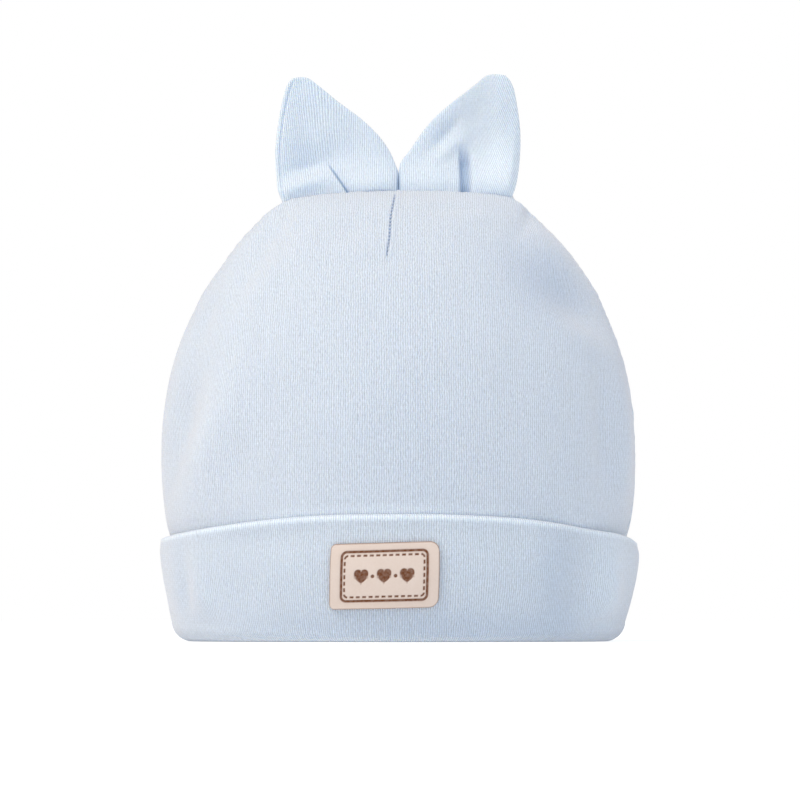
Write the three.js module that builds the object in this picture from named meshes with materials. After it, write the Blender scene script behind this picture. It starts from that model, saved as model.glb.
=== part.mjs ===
// A knitted baby hat with a turned-up cuff and two ears, shown filled out and standing on its cuff.
// Millimetres, +Z up, the front faces -Y, the origin is on the standing face under the middle.
// Every piece is cloth or leather of its real thickness: the crown is hollow and open at the rim.
import * as THREE from "three";

// Crown: two panels, each an outer shell and a lining, sewn at the sides and over the top
const crownWidth = 127; // outside, at the belly
const crownDepth = 108; // outside, at the belly
const crownHeight = 121.5; // standing face to the middle of the top seam
const bellyHeight = 47; // height of the widest part
const rimWidth = 101; // outside of the crown's wall at its lower edge
const rimDepth = 87;
const crownWall = 1.6;
const topSeamWidth = 63.8; // the seam that the ears stand in
const topSeamArch = 2; // its ends lie this much lower than its middle
const archReach = 0.6; // the crown follows that arch from this share of its height upwards
const seamMitre = 0.4; // at the ends of the top seam the lining is shorter by this share of the wall
const sideSeamSwing = 8; // at the rim the side seams are turned this far round the hat
const seamGap = 0.3; // clearance between sewn pieces
const dentsEnd = 0.93; // the dents run out into the top seam above this share of the height
const dentsStart = 0.4; // they begin within this share of the cuff's height above its free edge

// Cuff: one cloth wall from the crown's lower edge, round the fold and up outside
const cuffHeight = 32.7; // standing face to the free edge, at the middle of the front
const cuffSideHeight = 27.5; // the same at the side seams
const cuffWall = 2;
const foldRadius = 0.6; // free radius inside the fold, at the middle of the front
const foldSideRadius = 2.6; // the same at the side seams, where the cloth turns more softly
const footWidth = 2; // the fold is pressed flat this wide where it stands
const cuffBulge = 0.9; // the turned-up cloth bulges outwards this much at half its height
const joinHeight = 1.2; // the cuff's cloth meets the crown's wall this far above the fold
const cuffGap = 1.1; // free space between free edge and crown, at the front
const cuffSideGap = 1.8; // the same at the side seams
const foldCloth = Math.max(crownWall, cuffWall); // the fold goes round its free bend with this much cloth
const rimHeight = Math.max(foldRadius, foldSideRadius) + foldCloth + joinHeight; // the crown's wall ends here

// Ears: two layers each, turned and pleated at the base
const earHeight = 32.3; // top seam to tip, the taller ear
const earThickness = 4.4; // at the fullest place
const earEdge = 1.3; // along the turned seam
const earClearance = 0.35; // between the two ears, and between ear and top seam
const earCupDepth = 3.2; // just above the seam the middle of the ear is set back this far
const earCupEnd = 0.8; // share of the ear's height at which it is flat again
const earRoot = 0.16; // share of the ear's height over which it leaves the seam's line for that cup
const earRootSet = 0.26; // share of the cup that is already there at the seam
const earRootFill = 0.35; // share of the fullness at the seam
const earFillReach = 0.3; // share of the ear's height at which it is full
const earTipTaper = 0.25; // share of the ear's height over which it thins out to the tip
const earSetBack = 2.5; // the tips lie this far behind the top seam

// Patch: a leather plate bent round the front of the cuff
const patchWidth = 27.4;
const patchHeight = 16.9;
const patchThickness = 1.2;
const patchCorner = 2.8;
const patchOffset = -4; // middle of the patch, sideways from the middle of the hat
const patchRise = 16.9; // middle of the patch above the standing face
const patchTilt = 1.5; // degrees, the patch is sewn on slightly askew

// Facets
const panelColumns = 30;
const panelRows = 22;
const cuffColumns = 52;
const foldSteps = 4; // to each quarter turn
const edgeSteps = 4;
const legSteps = 4;
const earColumns = 18;
const earRows = 14;
const patchColumns = 16;
const patchRows = 2;
const rowCrowding = 1.3; // above 1 the rows lie closer together towards the top

// Crown outline above the belly: rise is the share of the way up to the top seam, width the share of the way
// from the top seam's length out to the full width, depth the share of the full depth
const upperOutline = [
  { rise: 0.0, width: 1.0, depth: 1.0 },
  { rise: 0.1, width: 0.997, depth: 0.993 },
  { rise: 0.2, width: 0.98, depth: 0.975 },
  { rise: 0.31, width: 0.942, depth: 0.945 },
  { rise: 0.42, width: 0.872, depth: 0.895 },
  { rise: 0.53, width: 0.785, depth: 0.825 },
  { rise: 0.635, width: 0.672, depth: 0.735 },
  { rise: 0.745, width: 0.51, depth: 0.605 },
  { rise: 0.85, width: 0.33, depth: 0.44 },
  { rise: 0.905, width: 0.205, depth: 0.335 },
  { rise: 0.958, width: 0.075, depth: 0.19 },
  { rise: 1.0, width: 0.0, depth: 0.0 },
];

// Crown outline below the belly: drop is the share of the way down to the crown's lower edge,
// swell the share of the way from the rim's size out to the belly's
const lowerOutline = [
  { drop: 0.0, swell: 1.0 },
  { drop: 0.21, swell: 0.965 },
  { drop: 0.41, swell: 0.84 },
  { drop: 0.65, swell: 0.53 },
  { drop: 0.83, swell: 0.24 },
  { drop: 1.0, swell: 0.0 },
];

// Soft dents (depth above 0) and ridges (below 0) of the crown. turn is degrees round the hat from the middle
// of the front, to the viewer's right; rise is a share of the crown's height; across, along and depth are
// shares of the crown's width; lean is degrees from upright
const crownFolds = [
  { turn: -62, rise: 0.5, across: 0.05, along: 0.2, lean: -8, depth: 0.012 },
  { turn: -45, rise: 0.48, across: 0.05, along: 0.2, lean: -10, depth: -0.007 },
  { turn: -58, rise: 0.77, across: 0.06, along: 0.12, lean: -35, depth: 0.007 },
  { turn: 52, rise: 0.78, across: 0.1, along: 0.12, lean: 30, depth: 0.016 },
  { turn: 40, rise: 0.66, across: 0.08, along: 0.1, lean: 60, depth: -0.006 },
  { turn: 68, rise: 0.42, across: 0.06, along: 0.2, lean: 4, depth: 0.008 },
  { turn: -4, rise: 0.93, across: 0.016, along: 0.07, lean: 8, depth: 0.007 },
  { turn: 0, rise: 0.8, across: 0.14, along: 0.05, lean: 90, depth: -0.006 },
  { turn: 180, rise: 0.93, across: 0.016, along: 0.07, lean: 0, depth: 0.007 },
  { turn: 128, rise: 0.62, across: 0.07, along: 0.18, lean: 12, depth: 0.01 },
  { turn: -138, rise: 0.58, across: 0.07, along: 0.2, lean: -10, depth: 0.011 },
];

// Ear outline: up is a share of the ear's height, inner and outer are its edges as shares of half the top seam
const earOutline = [
  { up: 0.0, inner: 0.0, outer: 0.995 },
  { up: 0.1, inner: 0.0, outer: 1.015 },
  { up: 0.2, inner: 0.015, outer: 1.032 },
  { up: 0.3, inner: 0.07, outer: 1.042 },
  { up: 0.4, inner: 0.135, outer: 1.044 },
  { up: 0.5, inner: 0.218, outer: 1.04 },
  { up: 0.6, inner: 0.32, outer: 1.03 },
  { up: 0.7, inner: 0.437, outer: 1.012 },
  { up: 0.8, inner: 0.553, outer: 0.99 },
  { up: 0.88, inner: 0.645, outer: 0.966 },
  { up: 0.95, inner: 0.725, outer: 0.935 },
  { up: 1.0, inner: 0.785, outer: 0.87 },
];

// What differs between the two ears: tall is a share of the ear's height. The pleat's place along the base and
// its lean, how far the crease drifts outwards on its way up, are shares of half the top seam; its reach is a
// share of the ear's height, and its depth and width are shares of the ear's thickness
const earShapes = {
  ear_left: { tall: 0.975, pleat: 0.44, lean: 0.14, reach: 0.28, depth: 0.5, width: 0.85 },
  ear_right: { tall: 1.0, pleat: 0.56, lean: 0.0, reach: 0.4, depth: 0.65, width: 0.85 },
};

const jersey = new THREE.MeshStandardMaterial({ color: 0xd3deea, roughness: 0.95, metalness: 0 });
const earJersey = new THREE.MeshStandardMaterial({ color: 0xd6e6f6, roughness: 0.95, metalness: 0 });
const leather = new THREE.MeshStandardMaterial({ color: 0xe6d5c6, roughness: 0.7, metalness: 0 });

const { cos, sin, asin, sqrt, exp, abs, min, max, hypot, PI } = Math;
const lerp = THREE.MathUtils.lerp;
const degrees = THREE.MathUtils.degToRad;
const smooth = (value, low, high) => THREE.MathUtils.smoothstep(value, low, high);

// Value of a column of a table at a place along its key column, on a smooth curve through the rows
function along(table, key, place, column) {
  const last = table.length - 1;
  let i = 0;
  while (i < last - 1 && table[i + 1][key] < place) i++;
  const slope = (j) => {
    const before = table[max(j - 1, 0)];
    const after = table[min(j + 1, last)];
    return (after[column] - before[column]) / (after[key] - before[key]);
  };
  const [a, b] = [table[i], table[i + 1]];
  const span = b[key] - a[key];
  const t = (place - a[key]) / span;
  const curve = THREE.MathUtils.clamp(t, 0, 1);
  const [c2, c3] = [curve ** 2, curve ** 3];
  return (
    (2 * c3 - 3 * c2 + 1) * a[column] +
    (c3 - 2 * c2 + curve) * span * slope(i) +
    (3 * c2 - 2 * c3) * b[column] +
    (c3 - c2) * span * slope(i + 1)
  );
}

// A closed solid between two faces: pointAt(u, v, face) is a point of face 0 (outside) or 1 (inside),
// u runs from left to right and v upwards, seen from outside
function slab(columns, rows, pointAt) {
  const corners = [];
  const index = [];
  const stride = columns + 1;
  const size = stride * (rows + 1);
  for (const face of [0, 1])
    for (let j = 0; j <= rows; j++)
      for (let i = 0; i <= columns; i++) corners.push(...pointAt(i / columns, j / rows, face));
  const at = (i, j, face) => face * size + j * stride + i;
  const quad = (a, b, c, d) => index.push(a, b, c, a, c, d);
  for (let j = 0; j < rows; j++)
    for (let i = 0; i < columns; i++) {
      quad(at(i, j, 0), at(i + 1, j, 0), at(i + 1, j + 1, 0), at(i, j + 1, 0));
      quad(at(i, j, 1), at(i, j + 1, 1), at(i + 1, j + 1, 1), at(i + 1, j, 1));
    }
  for (let i = 0; i < columns; i++) {
    quad(at(i, 0, 1), at(i + 1, 0, 1), at(i + 1, 0, 0), at(i, 0, 0));
    quad(at(i, rows, 0), at(i + 1, rows, 0), at(i + 1, rows, 1), at(i, rows, 1));
  }
  for (let j = 0; j < rows; j++) {
    quad(at(0, j, 0), at(0, j + 1, 0), at(0, j + 1, 1), at(0, j, 1));
    quad(at(columns, j, 1), at(columns, j + 1, 1), at(columns, j + 1, 0), at(columns, j, 0));
  }
  return geometryOf(corners, index);
}

// A closed ring: sectionAt(angle) is the closed outline of its section, the same number of points everywhere
function ring(columns, sectionAt) {
  const corners = [];
  const index = [];
  let count = 0;
  for (let i = 0; i < columns; i++) {
    const section = sectionAt((2 * PI * i) / columns);
    count = section.length;
    section.forEach((point) => corners.push(...point));
  }
  for (let i = 0; i < columns; i++)
    for (let k = 0; k < count; k++) {
      const [a, b] = [i * count + k, ((i + 1) % columns) * count + k];
      const [c, d] = [((i + 1) % columns) * count + ((k + 1) % count), i * count + ((k + 1) % count)];
      index.push(a, b, c, a, c, d);
    }
  return geometryOf(corners, index);
}

function geometryOf(corners, index) {
  const geometry = new THREE.BufferGeometry();
  geometry.setAttribute("position", new THREE.Float32BufferAttribute(corners, 3));
  geometry.setIndex(index);
  geometry.computeVertexNormals();
  return geometry;
}

// Half width and half depth of the crown at a height, for a surface that lies inset inside the outer one
function crownHalves(height, inset) {
  const top = crownHeight - inset;
  const full = { width: crownWidth / 2 - inset, depth: crownDepth / 2 - inset };
  if (height >= bellyHeight) {
    const rise = min((height - bellyHeight) / (top - bellyHeight), 1);
    const seam = topSeamWidth / 2 - inset * seamMitre;
    return {
      width: lerp(seam, full.width, along(upperOutline, "rise", rise, "width")),
      depth: full.depth * along(upperOutline, "rise", rise, "depth"),
    };
  }
  const drop = (bellyHeight - height) / (bellyHeight - rimHeight);
  const swell = along(lowerOutline, "drop", drop, "swell");
  return {
    width: lerp(rimWidth / 2 - inset, full.width, swell),
    depth: lerp(rimDepth / 2 - inset, full.depth, swell),
  };
}

// How far the crown is pushed in at a place. angle starts at the viewer's right, the front is at -90 degrees
function foldDepth(angle, height) {
  const rise = height / crownHeight;
  const begun = smooth(height, cuffHeight, cuffHeight * (1 + dentsStart));
  const left = 1 - smooth(rise, dentsEnd, 1);
  let depth = 0;
  for (const fold of crownFolds) {
    const middle = degrees(fold.turn - 90);
    const turn = THREE.MathUtils.euclideanModulo(angle - middle + PI, 2 * PI) - PI;
    const aside = (turn * crownHalves(height, 0).width) / crownWidth;
    const above = ((rise - fold.rise) * crownHeight) / crownWidth;
    const lean = degrees(fold.lean);
    const across = (aside * cos(lean) - above * sin(lean)) / fold.across;
    const up = (aside * sin(lean) + above * cos(lean)) / fold.along;
    depth += fold.depth * crownWidth * exp(-(across ** 2) - up ** 2);
  }
  return depth * begun * left;
}

// The top seam is an arch, and the crown under it follows that arch less and less
function archDrop(x, share) {
  const follow = smooth(share, archReach, 1);
  return topSeamArch * follow * min((x / (topSeamWidth / 2)) ** 2, 1);
}

// A point of the crown: angle round it, share of the way up to the top seam, inset from the outside
function crownPoint(angle, share, inset) {
  const height = lerp(rimHeight, crownHeight - inset, share);
  const half = crownHalves(height, inset);
  const push = foldDepth(angle, height);
  const x = (half.width - push) * cos(angle);
  const y = half.depth * sin(angle) - push * sin(angle);
  return [x, y, height - archDrop(x, share)];
}

// The side seams swing round the hat towards the rim
function seamSwing(share) {
  return -asin(sideSeamSwing / (rimDepth / 2)) * (1 - share) ** 1.5;
}

function crownPanel(side) {
  const start = side < 0 ? PI : 0;
  return slab(panelColumns, panelRows, (u, v, face) => {
    const share = 1 - (1 - v) ** rowCrowding;
    const angle = start + PI * u + seamSwing(share);
    const [x, y, z] = crownPoint(angle, share, face * crownWall);
    return [x, y + (side * seamGap) / 2, z];
  });
}

// The cuff's cloth in one upright plane: its outline as points { out, up }, starting at the crown's lower edge,
// down inside, round the fold, up outside, over the free edge and back along the hidden faces
function cuffSection(plane) {
  const { rim, bend } = plane;
  const radius = bend + foldCloth;
  const leg = cuffLeg(plane);
  const outside = [{ out: rim - crownWall, up: rimHeight - seamGap }];
  const inside = [{ out: rim, up: rimHeight - seamGap }];
  for (const half of [0, 1]) {
    const middle = rim - crownWall + radius + half * footWidth;
    for (let k = 0; k <= foldSteps; k++) {
      const share = (half + k / foldSteps) / 2;
      const turn = PI * (1 + share);
      const inner = radius - lerp(crownWall, cuffWall, share);
      outside.push({ out: middle + radius * cos(turn), up: radius * (1 + sin(turn)) });
      inside.push({ out: middle + inner * cos(turn), up: radius + inner * sin(turn) });
    }
  }
  for (let k = 1; k <= legSteps; k++) {
    outside.push(leg(k / legSteps, 0));
    inside.push(leg(k / legSteps, cuffWall));
  }
  const [a, b] = [outside.at(-1), inside.at(-1)];
  const middle = { out: (a.out + b.out) / 2, up: (a.up + b.up) / 2 };
  const arm = { out: (a.out - b.out) / 2, up: (a.up - b.up) / 2 };
  const over = [];
  for (let k = 1; k < edgeSteps; k++) {
    const turn = (PI * k) / edgeSteps;
    over.push({
      out: middle.out + arm.out * cos(turn) - arm.up * sin(turn),
      up: middle.up + arm.up * cos(turn) + arm.out * sin(turn),
    });
  }
  return [...outside, ...over, ...inside.reverse()];
}

// The outer leg of the cuff, slightly bowed: share is 0 at the fold and 1 under the rounded free edge, depth is
// counted inwards
function cuffLeg({ rim, bend, edge, height }) {
  const radius = bend + foldCloth;
  const foot = { out: rim - crownWall + 2 * radius + footWidth, up: radius };
  const head = { out: edge, up: height - cuffWall / 2 };
  const length = hypot(head.out - foot.out, head.up - foot.up);
  const normal = { out: (head.up - foot.up) / length, up: (foot.out - head.out) / length };
  return (share, depth) => {
    const shift = cuffBulge * 4 * share * (1 - share) - depth;
    return {
      out: lerp(foot.out, head.out, share) + normal.out * shift,
      up: lerp(foot.up, head.up, share) + normal.up * shift,
    };
  };
}

const cuffAtSide = {
  rim: rimWidth / 2,
  bend: foldSideRadius,
  edge: crownHalves(cuffSideHeight, 0).width + cuffSideGap + cuffWall,
  height: cuffSideHeight,
};
const cuffAtFront = {
  rim: rimDepth / 2,
  bend: foldRadius,
  edge: crownHalves(cuffHeight, 0).depth + cuffGap + cuffWall,
  height: cuffHeight,
};

// Between the side planes and the front and back planes the cuff's section changes evenly
function roundTheHat(side, front, angle) {
  const share = sin(angle) ** 2;
  return [side.out * cos(angle), front.out * sin(angle), lerp(side.up, front.up, share)];
}

function cuff() {
  const [side, front] = [cuffSection(cuffAtSide), cuffSection(cuffAtFront)];
  return ring(cuffColumns, (angle) => side.map((point, k) => roundTheHat(point, front[k], angle)));
}

// An ear: two puffed faces between its edges, cupped and pleated at the base, standing on the top seam
function ear(name, side) {
  const half = topSeamWidth / 2;
  const shape = earShapes[name];
  return slab(earColumns, earRows, (u, v, face) => {
    const across = side < 0 ? 1 - u : u;
    const up = 1 - (1 - v) ** rowCrowding;
    const inner = along(earOutline, "up", up, "inner") * half + earClearance / 2;
    const outer = along(earOutline, "up", up, "outer") * half;
    const x = lerp(inner, outer, across);
    const base = crownHeight + earClearance - archDrop(x, 1);
    const middle = 1 - (2 * across - 1) ** 2;
    const filled = lerp(earRootFill, 1, smooth(up, 0, earFillReach)) * smooth(1 - up, 0, earTipTaper);
    const thickness = lerp(earEdge, earThickness, sqrt(middle) * filled);
    const settled = lerp(earRootSet, 1, smooth(up, 0, earRoot));
    const cup = earCupDepth * middle * (1 - smooth(up, 0, earCupEnd));
    const crease = (shape.pleat + (shape.lean * up) / shape.reach) * half;
    const aside = (x - crease) / (shape.width * earThickness);
    const tuck = shape.depth * earThickness * exp(-(aside ** 2)) * (1 - smooth(up, 0, shape.reach));
    const y = (cup + tuck) * settled + earSetBack * up ** 1.5 + (face - 0.5) * thickness;
    return [side * x, y, base + up * earHeight * shape.tall];
  });
}

// The patch lies on the cuff's outer leg and bends with it
function patch() {
  const [side, front] = [cuffLeg(cuffAtSide), cuffLeg(cuffAtFront)];
  const straight = patchWidth / 2 - patchCorner;
  const tilt = degrees(patchTilt);
  return slab(patchColumns, patchRows, (u, v, face) => {
    const across = -(patchWidth / 2) * cos(PI * u);
    const corner = max(abs(across) - straight, 0);
    const reach = patchHeight / 2 - patchCorner + sqrt(max(patchCorner ** 2 - corner ** 2, 0));
    const above = lerp(-reach, reach, v);
    const x = patchOffset + across * cos(tilt) - above * sin(tilt);
    const z = patchRise + above * cos(tilt) + across * sin(tilt);
    const out = face ? seamGap : seamGap + patchThickness;
    const place = (z - front(0, 0).up) / (front(1, 0).up - front(0, 0).up);
    const angle = asin(x / side(place, -out).out) - PI / 2;
    return roundTheHat(side(place, -out), front(place, -out), angle);
  });
}

function piece(name, geometry, material) {
  const mesh = new THREE.Mesh(geometry, material);
  mesh.name = name;
  return mesh;
}

const hat = new THREE.Group();
hat.add(
  piece("crown_front", crownPanel(-1), jersey),
  piece("crown_back", crownPanel(1), jersey),
  piece("cuff", cuff(), jersey),
  piece("ear_left", ear("ear_left", -1), earJersey),
  piece("ear_right", ear("ear_right", 1), earJersey),
  piece("patch", patch(), leather),
);

export default hat;
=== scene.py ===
import math

import bpy
import numpy as np
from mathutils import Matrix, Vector, noise


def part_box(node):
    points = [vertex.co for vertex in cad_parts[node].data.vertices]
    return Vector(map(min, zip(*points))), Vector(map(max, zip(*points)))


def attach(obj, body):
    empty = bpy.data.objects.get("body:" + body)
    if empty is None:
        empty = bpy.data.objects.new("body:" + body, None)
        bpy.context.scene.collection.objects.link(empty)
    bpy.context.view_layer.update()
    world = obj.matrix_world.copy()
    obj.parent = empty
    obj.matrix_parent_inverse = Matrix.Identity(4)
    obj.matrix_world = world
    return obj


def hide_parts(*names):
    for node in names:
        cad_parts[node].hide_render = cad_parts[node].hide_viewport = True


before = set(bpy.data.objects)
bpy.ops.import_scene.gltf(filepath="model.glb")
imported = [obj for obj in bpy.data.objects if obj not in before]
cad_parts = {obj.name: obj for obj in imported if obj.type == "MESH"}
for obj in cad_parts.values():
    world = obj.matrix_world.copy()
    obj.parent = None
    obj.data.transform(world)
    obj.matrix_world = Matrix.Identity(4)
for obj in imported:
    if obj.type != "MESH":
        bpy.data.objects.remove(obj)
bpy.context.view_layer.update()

# A knitted baby hat: crown of two panels, turned-up cuff, two pleated ears and a small leather patch.
# Lengths in the dictionaries are millimetres, and the meshes are made in metres.

mm = 0.001


# Shared ways of wiring nodes

def feed(tree, socket, value):
    # a socket takes another node's output or a plain value
    if isinstance(value, bpy.types.NodeSocket):
        tree.links.new(value, socket)
    else:
        socket.default_value = value


def fill(tree, node, values):
    for label, value in values.items():
        feed(tree, node.inputs[label], value)
    return node


def calc(tree, operation, *values):
    # one math node, fed by sockets or numbers
    node = tree.nodes.new("ShaderNodeMath")
    node.operation = operation
    for socket, value in zip(node.inputs, values):
        feed(tree, socket, value)
    return node.outputs[0]


def blend(tree, share, low, high):
    # a mix of two colours
    mix = tree.nodes.new("ShaderNodeMix")
    mix.data_type = "RGBA"
    return fill(tree, mix, {"Factor": share, "A": low, "B": high}).outputs["Result"]


# Studio: the camera level with the cuff, a warm light from the left, and a pale floor

studio = {
    "distance": 1100.0,     # camera to the middle of the hat
    "eyeHeight": 6.0,       # camera above the floor
    "aimHeight": 64.7,      # the middle of the picture
    "aimSide": 0.4,
    "pictureWidth": 214.9,  # what the picture takes in at the hat
    "sensor": 36.0,
    "ambient": 0.79,
    "ambientColour": (0.91, 0.955, 1.0),
    "keyPower": 17.6,
    "keyColour": (1.0, 0.86, 0.68),
    "keySize": 900.0,
    "keyPlace": (-950.0, -950.0, 1600.0),
    "fillPower": 0.4,
    "fillColour": (1.0, 0.95, 0.9),
    "fillPlace": (1300.0, -500.0, 300.0),
    "floorColour": (0.75, 0.75, 0.75),
    "floorGlow": 0.18,      # light that the floor gives of itself
    "floorLift": 0.3,       # how much brighter still the camera sees it
    "floorRoughness": 0.9,
    "floorRadius": 8000.0,
}


def placeCamera():
    eye = Vector((studio["aimSide"], -studio["distance"], studio["eyeHeight"])) * mm
    aim = Vector((studio["aimSide"], 0, studio["aimHeight"])) * mm
    bpy.ops.object.camera_add(location=eye, rotation=(aim - eye).to_track_quat("-Z", "Y").to_euler())
    camera = bpy.context.object
    camera.name = "camera"
    camera.data.sensor_width = studio["sensor"]
    camera.data.lens = studio["sensor"] * (aim - eye).length / (studio["pictureWidth"] * mm)
    camera.data.clip_start = 0.01
    bpy.context.scene.camera = camera


def placeLight(name, place, power, colour, size):
    aim = Vector((0, 0, studio["aimHeight"])) * mm
    where = Vector(place) * mm
    bpy.ops.object.light_add(type="AREA", location=where,
                             rotation=(aim - where).to_track_quat("-Z", "Y").to_euler())
    light = bpy.context.object
    light.name = name
    light.data.energy = power
    light.data.color = colour
    light.data.size = size * mm


def makeStudio():
    placeCamera()
    placeLight("keyLight", studio["keyPlace"], studio["keyPower"], studio["keyColour"], studio["keySize"])
    placeLight("fillLight", studio["fillPlace"], studio["fillPower"], studio["fillColour"], studio["keySize"])
    world = bpy.data.worlds.new("studioWorld")
    bpy.context.scene.world = world
    world.use_nodes = True
    tree = world.node_tree
    path = tree.nodes.new("ShaderNodeLightPath")
    ambient = (*(studio["ambient"] * part for part in studio["ambientColour"]), 1)
    tone = blend(tree, path.outputs["Is Camera Ray"], ambient, (1, 1, 1, 1))   # the camera sees white
    fill(tree, tree.nodes["Background"], {"Color": tone})
    bpy.ops.mesh.primitive_circle_add(vertices=96, radius=studio["floorRadius"] * mm, fill_type="NGON")
    floor = bpy.context.object
    floor.name = "studioFloor"
    paint = bpy.data.materials.new("floorPaint")
    paint.use_nodes = True
    tree = paint.node_tree
    path = tree.nodes.new("ShaderNodeLightPath")
    glow = calc(tree, "MULTIPLY_ADD", path.outputs["Is Camera Ray"], studio["floorLift"], studio["floorGlow"])
    fill(tree, tree.nodes["Principled BSDF"], {
        "Base Color": (*studio["floorColour"], 1), "Roughness": studio["floorRoughness"],
        "Specular IOR Level": 0.0, "Emission Color": (1, 1, 1, 1), "Emission Strength": glow})
    floor.data.materials.append(paint)
    bpy.context.scene.view_settings.view_transform = "Standard"


makeStudio()
print("studio ready")


# Shared ways of shaping cloth

def smoothTable(table, key, column, places):
    # a smooth curve through the table's values, read at the places
    keys, values = np.array(table[key]), np.array(table[column])
    slopes = np.gradient(values, keys)
    i = np.clip(np.searchsorted(keys, places) - 1, 0, len(keys) - 2)
    span = keys[i + 1] - keys[i]
    t = np.clip((places - keys[i]) / span, 0, 1)
    return ((2 * t**3 - 3 * t**2 + 1) * values[i] + (t**3 - 2 * t**2 + t) * span * slopes[i]
            + (3 * t**2 - 2 * t**3) * values[i + 1] + (t**3 - t**2) * span * slopes[i + 1])


def lerp(a, b, share):
    return a + (b - a) * share


def smoothStep(value, low, high):
    t = np.clip((value - low) / (high - low), 0, 1)
    return t * t * (3 - 2 * t)


def bell(value, centre, reach):
    # 1 at the centre, softly to 0 on both sides
    return np.exp(-((value - centre) / reach) ** 2)


def stops(length, coarse, *crowds):
    # places along a length, coarse steps apart, and finer ones around each (centre, step, reach)
    place = np.linspace(0, length, 6000)
    crowd = np.full_like(place, 1 / coarse)
    for centre, fine, reach in crowds:
        crowd = np.maximum(crowd, 1 / fine * np.exp(-((place - centre) / reach) ** 2 / 2))
    count = np.concatenate([[0], np.cumsum((crowd[1:] + crowd[:-1]) / 2 * np.diff(place))])
    steps = int(round(count[-1]))
    return np.interp(np.linspace(0, count[-1], steps + 1), count, place)


def dents(rows, a, b):
    # soft hollows (depth below 0) and swellings at places (a, b); their size is across and along a line
    # that leans by degrees from the b axis
    total = np.zeros_like(a)
    for row in rows:
        lean = math.radians(row["lean"])
        da, db = a - row["at"][0], b - row["at"][1]
        across = (da * math.cos(lean) - db * math.sin(lean)) / row["size"][0]
        along = (da * math.sin(lean) + db * math.cos(lean)) / row["size"][1]
        total += row["depth"] * np.exp(-across**2 - along**2)
    return total


def unevenness(points, wave, seed):
    # slow, repeatable unevenness of cloth, about -1 to 1
    shift = Vector((seed * 17.3, seed * 5.1, seed * 9.7))
    flat = points.reshape(-1, 3) / wave
    values = [noise.noise(Vector(p) + shift) for p in flat]
    return np.array(values).reshape(points.shape[:-1]) * 2


def normalsOf(points):
    # outward normals of a grid of points [row, column, xyz], columns running right and rows up from outside
    normals = np.cross(np.gradient(points, axis=1), np.gradient(points, axis=0))
    return normals / np.maximum(np.linalg.norm(normals, axis=2, keepdims=True), 1e-9)


def arcAlong(points, axis):
    # the way along a grid's rows or columns from their start
    steps = np.linalg.norm(np.diff(points, axis=axis), axis=2)
    start = np.zeros_like(np.take(points[..., 0], [0], axis=axis))
    return np.concatenate([start, np.cumsum(steps, axis=axis)], axis=axis)


def selectOnly(*pieces):
    # the last one named is the active one
    bpy.ops.object.select_all(action="DESELECT")
    for piece in pieces:
        piece.select_set(True)
    bpy.context.view_layer.objects.active = pieces[-1]


def mark(piece, name, values):
    attribute = piece.data.attributes.new(name, "FLOAT", "POINT")
    attribute.data.foreach_set("value", values.ravel())


def layCloth(name, points, cloth, dark=None):
    # a grid sheet laid on the points, with a UV map in millimetres of cloth;
    # dark is above 0 at stitches and painted shade, and below 0 at painted light
    rows, columns = points.shape[0] - 1, points.shape[1] - 1
    bpy.ops.mesh.primitive_grid_add(x_subdivisions=columns, y_subdivisions=rows, size=1)
    piece = bpy.context.object
    piece.name = name
    piece.data.name = name
    flat = np.empty(len(piece.data.vertices) * 3)
    piece.data.vertices.foreach_get("co", flat)
    flat = flat.reshape(-1, 3)
    i = np.rint((flat[:, 0] + 0.5) * columns).astype(int)
    j = np.rint((flat[:, 1] + 0.5) * rows).astype(int)
    piece.data.vertices.foreach_set("co", (points[j, i] * mm).ravel())
    corner = np.empty(len(piece.data.loops), int)
    piece.data.loops.foreach_get("vertex_index", corner)
    uvMap = piece.data.uv_layers.active
    uvMap.name = "cloth"
    uvMap.data.foreach_set("uv", cloth[j, i][corner].ravel())
    mark(piece, "stitchAndShade", np.zeros(len(i)) if dark is None else dark[j, i])
    piece.data.update()
    return piece


def applyAll(piece):
    selectOnly(piece)
    for modifier in list(piece.modifiers):
        bpy.ops.object.modifier_apply(modifier=modifier.name)


def joinEdges(piece, reach=0.002):
    selectOnly(piece)
    bpy.ops.object.mode_set(mode="EDIT")
    bpy.ops.mesh.select_all(action="SELECT")
    bpy.ops.mesh.remove_doubles(threshold=reach * mm)
    bpy.ops.object.mode_set(mode="OBJECT")


def shadeSmooth(piece, degrees=60):
    selectOnly(piece)
    bpy.ops.object.shade_smooth_by_angle(angle=math.radians(degrees))


# Crown: two panels with rolled seams, a short dart and soft dents

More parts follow.
